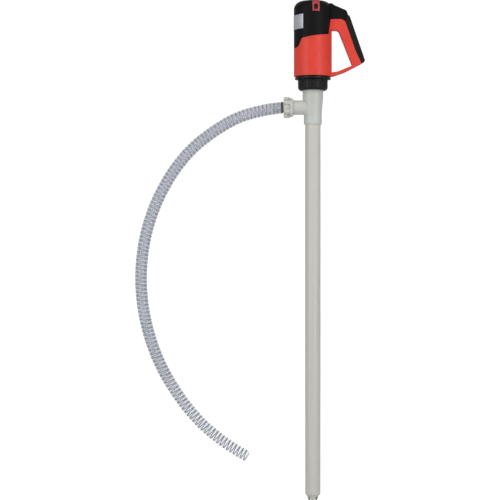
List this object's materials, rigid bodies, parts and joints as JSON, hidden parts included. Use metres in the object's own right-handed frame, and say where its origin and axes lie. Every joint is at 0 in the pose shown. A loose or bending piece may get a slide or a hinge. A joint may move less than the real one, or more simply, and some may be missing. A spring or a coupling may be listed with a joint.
{
  "type": "drum pump",
  "caption": "Electric drum pump: a hand-held motor head with a D-handle on a long immersion tube, with a side outlet and a clear spiral hose.",
  "frame": {"origin": "on the immersion tube's axis, where the tube leaves the pump housing and the immersion length starts", "axes": "+Z along the tube's axis up to the motor, +X towards the D-handle and -X along the outlet, -Y the side with the switch"},
  "size_m": [0.6127, 0.1036, 1.332],
  "materials": {
    "black_plastic": "moulded, satin",
    "red_plastic": "moulded, satin",
    "grip_plastic": "soft, fine grain",
    "plate_foil": "blank silver foil",
    "frame_red": "moulded, satin",
    "switch_red": "dark red, glossy",
    "nut_black": "moulded, ribbed",
    "housing_plastic": "polypropylene, light grey",
    "tube_plastic": "extruded polypropylene, light grey",
    "union_plastic": "polypropylene, light grey",
    "hose_vinyl": "clear vinyl with a spiral rib",
    "ring_rubber": "dark ring",
    "seal_rubber": "moulded",
    "steel": "ground",
    "bearing_steel": "polished",
    "zinc_steel": "zinc plated",
    "lamination": "stacked sheet",
    "copper": "enamelled copper wire",
    "carbon": "pressed carbon",
    "brass": "drawn",
    "aluminium": "cast",
    "inner_plastic": "moulded",
    "board_green": "printed circuit board"
  },
  "bodies": {
    "pump": {"pump_housing": "housing_plastic", "outer_tube": "tube_plastic", "inner_tube": "inner_plastic", "tube_spacers": "inner_plastic", "pump_foot": "tube_plastic", "shaft_bushes": "inner_plastic", "shaft_seal": "seal_rubber", "pilot_o_ring": "seal_rubber", "pump_bearing_outer_race": "bearing_steel", "pump_bearing_balls": "bearing_steel"},
    "pump_shaft": {"drive_shaft": "steel", "claw_pin": "steel", "pump_claw": "inner_plastic", "pump_bearing_inner_race": "bearing_steel", "impeller": "inner_plastic", "impeller_nut": "steel"},
    "hand_nut": {"hand_nut": "nut_black"},
    "motor": {"motor_casing": "red_plastic", "top_cap": "black_plastic", "grip_cover": "grip_plastic", "name_plate": "plate_foil", "switch_frame": "frame_red", "switch_module": "black_plastic", "cable_gland": "seal_rubber", "motor_flange": "nut_black", "flange_screws": "zinc_steel", "bearing_circlip": "steel", "lower_bearing_outer_race": "bearing_steel", "lower_bearing_balls": "bearing_steel", "upper_bearing_outer_race": "bearing_steel", "upper_bearing_balls": "bearing_steel", "stator_core": "lamination", "field_coil_rear": "copper", "field_coil_front": "copper", "bearing_bridge": "aluminium", "bridge_bolts": "zinc_steel", "brush_holder_right": "brass", "carbon_brush_right": "carbon", "brush_spring_right": "steel", "brush_holder_left": "brass", "carbon_brush_left": "carbon", "brush_spring_left": "steel", "control_board": "board_green", "board_posts": "inner_plastic"},
    "rotor": {"armature_shaft": "steel", "armature_core": "lamination", "armature_windings": "copper", "commutator": "copper", "cooling_fan": "inner_plastic", "motor_claw": "inner_plastic", "lower_bearing_inner_race": "bearing_steel", "upper_bearing_inner_race": "bearing_steel"},
    "switch_rocker": {"switch_rocker": "switch_red"},
    "hose_set": {"hose_tail": "union_plastic", "outlet_gasket": "seal_rubber", "stop_ring": "ring_rubber", "hose": "hose_vinyl"},
    "union_nut": {"union_nut": "union_plastic"}
  },
  "joints": [
    {"name": "hand_nut_turn", "type": "hinge", "parent": "pump", "child": "hand_nut", "pos_m": [0, 0, 0.1], "axis": [0, 0, 1], "range_deg": [-900, 0]},
    {"name": "motor_lift", "type": "slide", "parent": "pump", "child": "motor", "axis": [0, 0, 1], "range_m": [0, 0.0075]},
    {"name": "motor_spin", "type": "hinge", "parent": "motor", "child": "rotor", "pos_m": [0, 0, 0.19], "axis": [0, 0, 1], "continuous": true},
    {"name": "pump_spin", "type": "hinge", "parent": "pump", "child": "pump_shaft", "pos_m": [0, 0, -0.4], "axis": [0, 0, 1], "continuous": true},
    {"name": "switch_rock", "type": "hinge", "parent": "motor", "child": "switch_rocker", "pos_m": [0.0065, -0.0435, 0.3078], "axis": [1, 0, 0], "range_deg": [0, 10]},
    {"name": "hose_set_draw", "type": "slide", "parent": "pump", "child": "hose_set", "axis": [-1, 0, 0], "range_m": [0, 0.006]},
    {"name": "union_nut_turn", "type": "hinge", "parent": "hose_set", "child": "union_nut", "pos_m": [-0.065, 0, 0.0455], "axis": [-1, 0, 0], "range_deg": [0, 720]}
  ],
  "couplings": [
    {"joint": "hand_nut_turn", "follows": "motor_lift", "rad_per_m": -2094.4},
    {"joint": "pump_spin", "follows": "motor_spin", "ratio": 1},
    {"joint": "union_nut_turn", "follows": "hose_set_draw", "rad_per_m": 2094.4}
  ]
}
